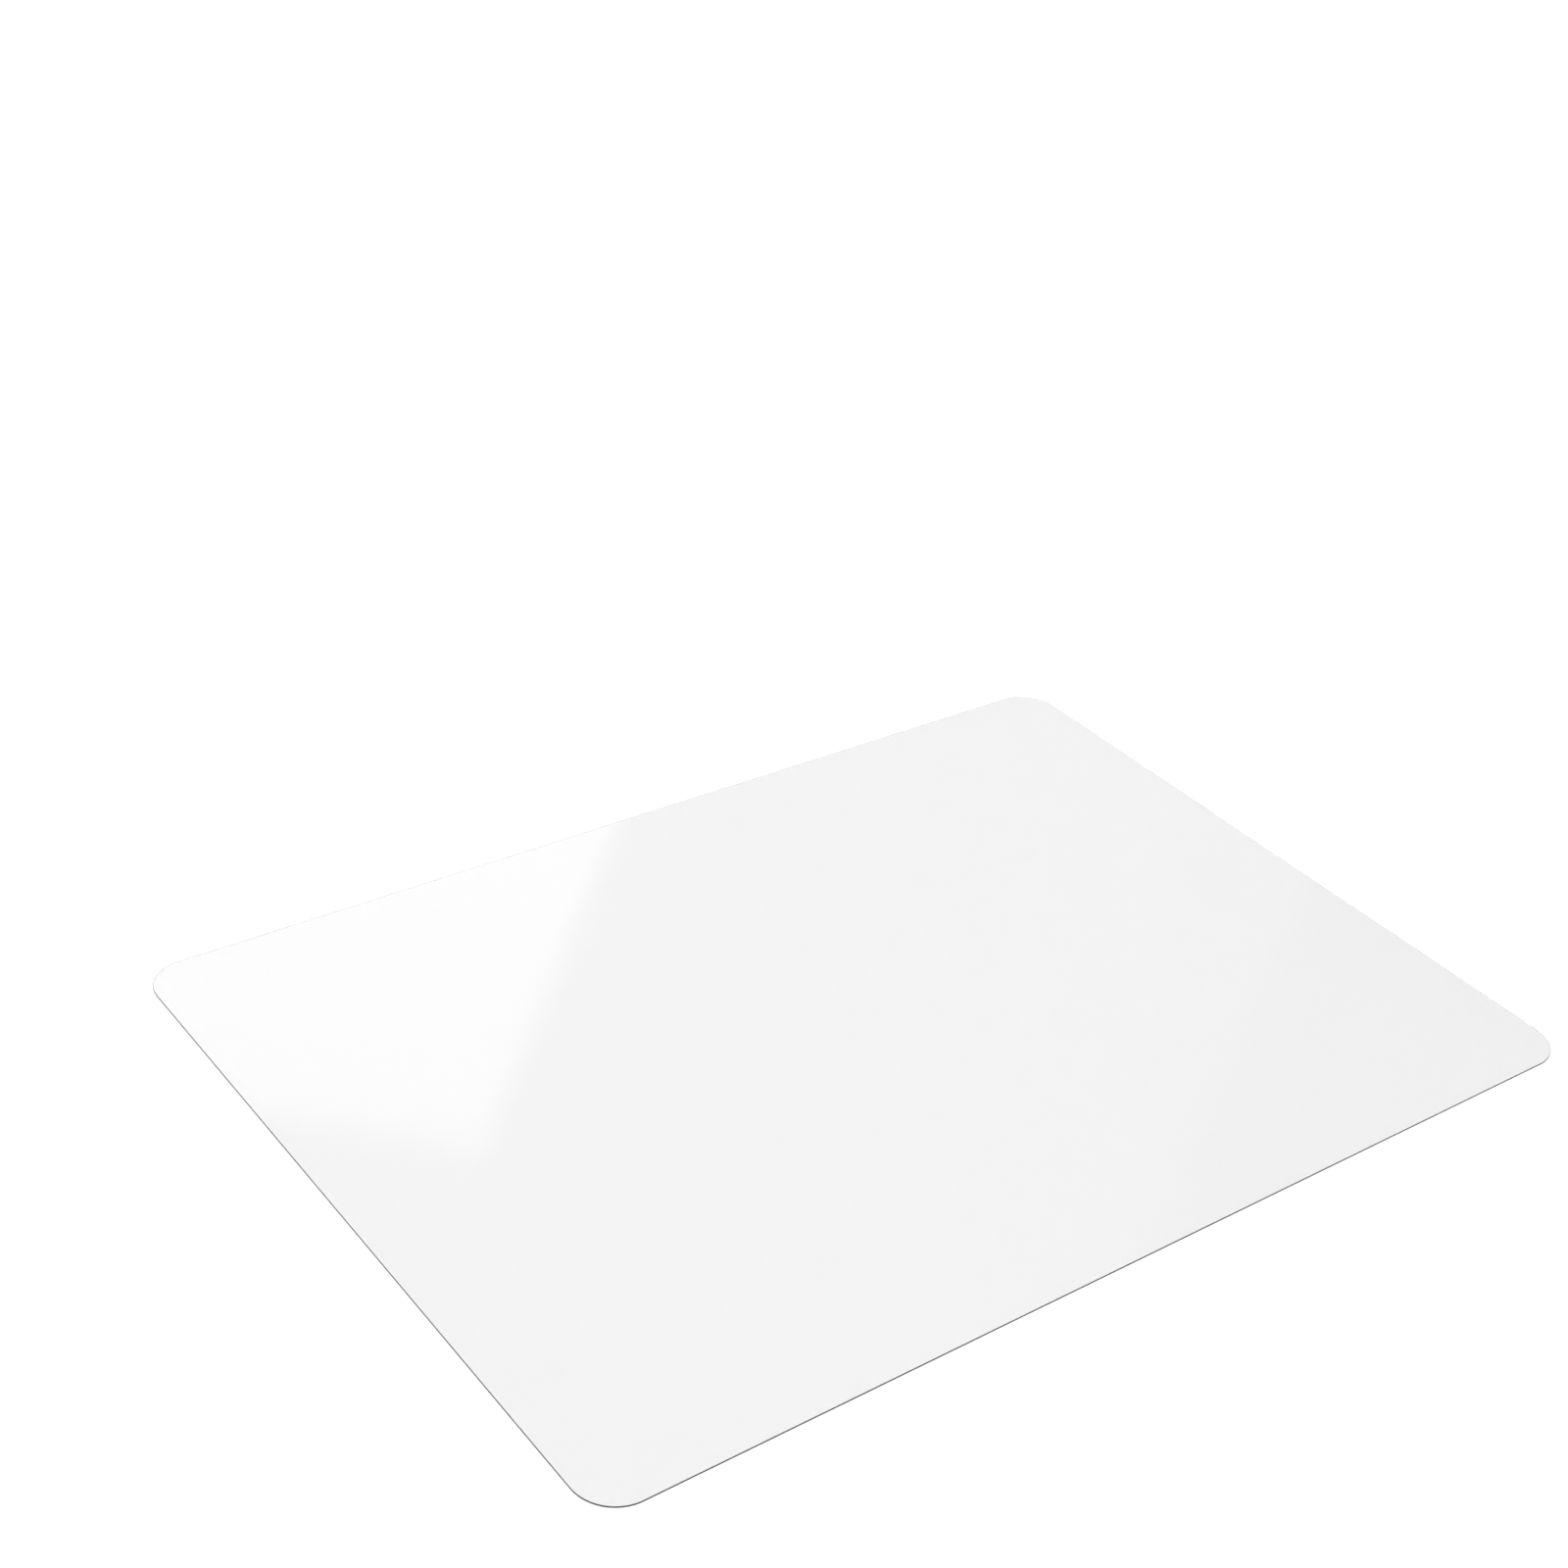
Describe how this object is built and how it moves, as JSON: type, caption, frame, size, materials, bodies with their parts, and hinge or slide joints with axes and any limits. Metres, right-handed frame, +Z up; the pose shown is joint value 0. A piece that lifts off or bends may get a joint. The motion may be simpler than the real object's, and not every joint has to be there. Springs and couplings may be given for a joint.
{
  "type": "chair mat",
  "caption": "Clear rectangular floor mat with rounded corners that lies flat under an office chair and rolls up from its rear edge.",
  "frame": {"origin": "on the floor, under the middle of the mat when it lies flat", "axes": "+X across the mat along its short side, +Y along its long side from the front edge to the rear edge, which is the one that rolls up, +Z up"},
  "size_m": [1, 1.4, 0.002],
  "materials": {
    "clear_vinyl": "gloss"
  },
  "bodies": {
    "front_panel": {"sheet_front_panel": "clear_vinyl"},
    "strip_01": {"sheet_strip_01": "clear_vinyl"},
    "strip_02": {"sheet_strip_02": "clear_vinyl"},
    "strip_03": {"sheet_strip_03": "clear_vinyl"},
    "strip_04": {"sheet_strip_04": "clear_vinyl"},
    "strip_05": {"sheet_strip_05": "clear_vinyl"},
    "strip_06": {"sheet_strip_06": "clear_vinyl"},
    "strip_07": {"sheet_strip_07": "clear_vinyl"},
    "strip_08": {"sheet_strip_08": "clear_vinyl"},
    "strip_09": {"sheet_strip_09": "clear_vinyl"},
    "strip_10": {"sheet_strip_10": "clear_vinyl"},
    "strip_11": {"sheet_strip_11": "clear_vinyl"},
    "strip_12": {"sheet_strip_12": "clear_vinyl"},
    "strip_13": {"sheet_strip_13": "clear_vinyl"},
    "strip_14": {"sheet_strip_14": "clear_vinyl"},
    "strip_15": {"sheet_strip_15": "clear_vinyl"},
    "strip_16": {"sheet_strip_16": "clear_vinyl"},
    "strip_17": {"sheet_strip_17": "clear_vinyl"},
    "strip_18": {"sheet_strip_18": "clear_vinyl"},
    "strip_19": {"sheet_strip_19": "clear_vinyl"},
    "strip_20": {"sheet_strip_20": "clear_vinyl"},
    "strip_21": {"sheet_strip_21": "clear_vinyl"},
    "strip_22": {"sheet_strip_22": "clear_vinyl"},
    "strip_23": {"sheet_strip_23": "clear_vinyl"},
    "strip_24": {"sheet_strip_24": "clear_vinyl"},
    "strip_25": {"sheet_strip_25": "clear_vinyl"},
    "strip_26": {"sheet_strip_26": "clear_vinyl"},
    "strip_27": {"sheet_strip_27": "clear_vinyl"},
    "strip_28": {"sheet_strip_28": "clear_vinyl"}
  },
  "joints": [
    {"name": "roll", "type": "hinge", "parent": "front_panel", "child": "strip_01", "pos_m": [0, 0, 0.002], "axis": [1, 0, 0], "range_deg": [0, 18.43]},
    {"name": "roll_bend_02", "type": "hinge", "parent": "strip_01", "child": "strip_02", "pos_m": [0, 0.03325, 0.002], "axis": [1, 0, 0], "range_deg": [0, 36.87]},
    {"name": "roll_bend_03", "type": "hinge", "parent": "strip_02", "child": "strip_03", "pos_m": [0, 0.06589, 0.002], "axis": [1, 0, 0], "range_deg": [0, 36.87]},
    {"name": "roll_bend_04", "type": "hinge", "parent": "strip_03", "child": "strip_04", "pos_m": [0, 0.09792, 0.002], "axis": [1, 0, 0], "range_deg": [0, 36.87]},
    {"name": "roll_bend_05", "type": "hinge", "parent": "strip_04", "child": "strip_05", "pos_m": [0, 0.12934, 0.002], "axis": [1, 0, 0], "range_deg": [0, 36.87]},
    {"name": "roll_bend_06", "type": "hinge", "parent": "strip_05", "child": "strip_06", "pos_m": [0, 0.16014, 0.002], "axis": [1, 0, 0], "range_deg": [0, 36.87]},
    {"name": "roll_bend_07", "type": "hinge", "parent": "strip_06", "child": "strip_07", "pos_m": [0, 0.19034, 0.002], "axis": [1, 0, 0], "range_deg": [0, 36.87]},
    {"name": "roll_bend_08", "type": "hinge", "parent": "strip_07", "child": "strip_08", "pos_m": [0, 0.21992, 0.002], "axis": [1, 0, 0], "range_deg": [0, 36.87]},
    {"name": "roll_bend_09", "type": "hinge", "parent": "strip_08", "child": "strip_09", "pos_m": [0, 0.24889, 0.002], "axis": [1, 0, 0], "range_deg": [0, 36.87]},
    {"name": "roll_bend_10", "type": "hinge", "parent": "strip_09", "child": "strip_10", "pos_m": [0, 0.27725, 0.002], "axis": [1, 0, 0], "range_deg": [0, 36.87]},
    {"name": "roll_bend_11", "type": "hinge", "parent": "strip_10", "child": "strip_11", "pos_m": [0, 0.305, 0.002], "axis": [1, 0, 0], "range_deg": [0, 36.87]},
    {"name": "roll_bend_12", "type": "hinge", "parent": "strip_11", "child": "strip_12", "pos_m": [0, 0.33214, 0.002], "axis": [1, 0, 0], "range_deg": [0, 36.87]},
    {"name": "roll_bend_13", "type": "hinge", "parent": "strip_12", "child": "strip_13", "pos_m": [0, 0.35867, 0.002], "axis": [1, 0, 0], "range_deg": [0, 36.87]},
    {"name": "roll_bend_14", "type": "hinge", "parent": "strip_13", "child": "strip_14", "pos_m": [0, 0.38459, 0.002], "axis": [1, 0, 0], "range_deg": [0, 36.87]},
    {"name": "roll_bend_15", "type": "hinge", "parent": "strip_14", "child": "strip_15", "pos_m": [0, 0.40989, 0.002], "axis": [1, 0, 0], "range_deg": [0, 36.87]},
    {"name": "roll_bend_16", "type": "hinge", "parent": "strip_15", "child": "strip_16", "pos_m": [0, 0.43459, 0.002], "axis": [1, 0, 0], "range_deg": [0, 36.87]},
    {"name": "roll_bend_17", "type": "hinge", "parent": "strip_16", "child": "strip_17", "pos_m": [0, 0.45867, 0.002], "axis": [1, 0, 0], "range_deg": [0, 36.87]},
    {"name": "roll_bend_18", "type": "hinge", "parent": "strip_17", "child": "strip_18", "pos_m": [0, 0.48214, 0.002], "axis": [1, 0, 0], "range_deg": [0, 36.87]},
    {"name": "roll_bend_19", "type": "hinge", "parent": "strip_18", "child": "strip_19", "pos_m": [0, 0.505, 0.002], "axis": [1, 0, 0], "range_deg": [0, 36.87]},
    {"name": "roll_bend_20", "type": "hinge", "parent": "strip_19", "child": "strip_20", "pos_m": [0, 0.52725, 0.002], "axis": [1, 0, 0], "range_deg": [0, 36.87]},
    {"name": "roll_bend_21", "type": "hinge", "parent": "strip_20", "child": "strip_21", "pos_m": [0, 0.54889, 0.002], "axis": [1, 0, 0], "range_deg": [0, 36.87]},
    {"name": "roll_bend_22", "type": "hinge", "parent": "strip_21", "child": "strip_22", "pos_m": [0, 0.56992, 0.002], "axis": [1, 0, 0], "range_deg": [0, 36.87]},
    {"name": "roll_bend_23", "type": "hinge", "parent": "strip_22", "child": "strip_23", "pos_m": [0, 0.59034, 0.002], "axis": [1, 0, 0], "range_deg": [0, 36.87]},
    {"name": "roll_bend_24", "type": "hinge", "parent": "strip_23", "child": "strip_24", "pos_m": [0, 0.61014, 0.002], "axis": [1, 0, 0], "range_deg": [0, 36.87]},
    {"name": "roll_bend_25", "type": "hinge", "parent": "strip_24", "child": "strip_25", "pos_m": [0, 0.62934, 0.002], "axis": [1, 0, 0], "range_deg": [0, 36.87]},
    {"name": "roll_bend_26", "type": "hinge", "parent": "strip_25", "child": "strip_26", "pos_m": [0, 0.64792, 0.002], "axis": [1, 0, 0], "range_deg": [0, 36.87]},
    {"name": "roll_bend_27", "type": "hinge", "parent": "strip_26", "child": "strip_27", "pos_m": [0, 0.66589, 0.002], "axis": [1, 0, 0], "range_deg": [0, 36.87]},
    {"name": "roll_bend_28", "type": "hinge", "parent": "strip_27", "child": "strip_28", "pos_m": [0, 0.68325, 0.002], "axis": [1, 0, 0], "range_deg": [0, 36.87]}
  ],
  "couplings": [
    {"joint": "roll_bend_02", "follows": "roll", "ratio": 2},
    {"joint": "roll_bend_03", "follows": "roll", "ratio": 2},
    {"joint": "roll_bend_04", "follows": "roll", "ratio": 2},
    {"joint": "roll_bend_05", "follows": "roll", "ratio": 2},
    {"joint": "roll_bend_06", "follows": "roll", "ratio": 2},
    {"joint": "roll_bend_07", "follows": "roll", "ratio": 2},
    {"joint": "roll_bend_08", "follows": "roll", "ratio": 2},
    {"joint": "roll_bend_09", "follows": "roll", "ratio": 2},
    {"joint": "roll_bend_10", "follows": "roll", "ratio": 2},
    {"joint": "roll_bend_11", "follows": "roll", "ratio": 2},
    {"joint": "roll_bend_12", "follows": "roll", "ratio": 2},
    {"joint": "roll_bend_13", "follows": "roll", "ratio": 2},
    {"joint": "roll_bend_14", "follows": "roll", "ratio": 2},
    {"joint": "roll_bend_15", "follows": "roll", "ratio": 2},
    {"joint": "roll_bend_16", "follows": "roll", "ratio": 2},
    {"joint": "roll_bend_17", "follows": "roll", "ratio": 2},
    {"joint": "roll_bend_18", "follows": "roll", "ratio": 2},
    {"joint": "roll_bend_19", "follows": "roll", "ratio": 2},
    {"joint": "roll_bend_20", "follows": "roll", "ratio": 2},
    {"joint": "roll_bend_21", "follows": "roll", "ratio": 2},
    {"joint": "roll_bend_22", "follows": "roll", "ratio": 2},
    {"joint": "roll_bend_23", "follows": "roll", "ratio": 2},
    {"joint": "roll_bend_24", "follows": "roll", "ratio": 2},
    {"joint": "roll_bend_25", "follows": "roll", "ratio": 2},
    {"joint": "roll_bend_26", "follows": "roll", "ratio": 2},
    {"joint": "roll_bend_27", "follows": "roll", "ratio": 2},
    {"joint": "roll_bend_28", "follows": "roll", "ratio": 2}
  ]
}
